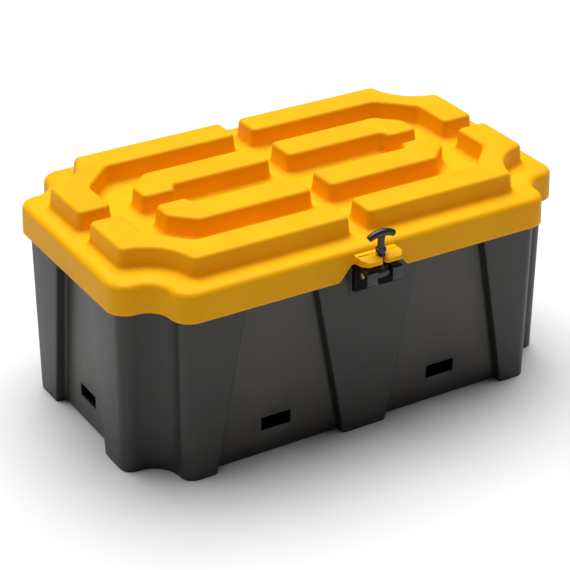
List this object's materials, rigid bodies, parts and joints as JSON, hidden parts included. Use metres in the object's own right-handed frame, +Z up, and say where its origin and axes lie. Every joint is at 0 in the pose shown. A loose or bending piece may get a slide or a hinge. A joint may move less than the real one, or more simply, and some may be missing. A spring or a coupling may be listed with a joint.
{
  "type": "toolbox with tray",
  "caption": "Long plastic storage toolbox with scooped corners, a ribbed hinged lid, a rubber T-handle latch and a sliding tote tray inside.",
  "frame": {"origin": "middle of the base, on the surface it stands on", "axes": "+X along the length to the right seen from the latch side, -Y the front with the latch, +Z up"},
  "size_m": [0.62, 0.417, 0.283],
  "materials": {
    "tub_plastic": "moulded polypropylene, satin, dark graphite",
    "lid_plastic": "moulded polypropylene, satin, bright yellow",
    "tray_plastic": "moulded polypropylene, satin, mid grey",
    "latch_plastic": "moulded nylon, glossy black",
    "strap_rubber": "moulded rubber, soft sheen, black",
    "zinc_steel": "bright zinc plating",
    "hinge_steel": "black powder coat on pressed steel",
    "rivet_aluminium": "plain aluminium rivet"
  },
  "bodies": {
    "box": {"tub": "tub_plastic", "latch_bracket": "latch_plastic", "latch_bolts": "zinc_steel", "latch_nuts": "zinc_steel", "latch_pin": "zinc_steel", "hinge_left_base": "hinge_steel", "hinge_right_base": "hinge_steel", "hinge_left_pin": "zinc_steel", "hinge_right_pin": "zinc_steel", "hinge_base_rivets": "rivet_aluminium"},
    "lid": {"lid": "lid_plastic", "hinge_left_leaf": "hinge_steel", "hinge_right_leaf": "hinge_steel", "hinge_leaf_rivets": "rivet_aluminium"},
    "latch": {"latch_strap": "strap_rubber"},
    "tray": {"tray": "tray_plastic"},
    "tray_handle": {"tray_bail": "zinc_steel", "tray_grip": "latch_plastic"},
    "divider_1": {"tray_divider_1": "tray_plastic"},
    "divider_2": {"tray_divider_2": "tray_plastic"},
    "divider_3": {"tray_divider_3": "tray_plastic"}
  },
  "joints": [
    {"name": "lid_hinge", "type": "hinge", "parent": "box", "child": "lid", "pos_m": [0, 0.1975, 0.215], "axis": [-1, 0, 0], "range_deg": [0, 110]},
    {"name": "latch_swing", "type": "hinge", "parent": "box", "child": "latch", "pos_m": [0, -0.203, 0.228], "axis": [1, 0, 0], "range_deg": [0, 165]},
    {"name": "tray_slide", "type": "slide", "parent": "box", "child": "tray", "axis": [1, 0, 0], "range_m": [0, 0.242]},
    {"name": "tray_bail_fold", "type": "hinge", "parent": "tray", "child": "tray_handle", "pos_m": [-0.121, 0, 0.194], "axis": [-1, 0, 0], "range_deg": [0, 80]},
    {"name": "divider_1_lift", "type": "slide", "parent": "tray", "child": "divider_1", "axis": [0, 0, 1], "range_m": [0, 0.045]},
    {"name": "divider_2_lift", "type": "slide", "parent": "tray", "child": "divider_2", "axis": [0, 0, 1], "range_m": [0, 0.045]},
    {"name": "divider_3_lift", "type": "slide", "parent": "tray", "child": "divider_3", "axis": [0, 0, 1], "range_m": [0, 0.045]}
  ]
}
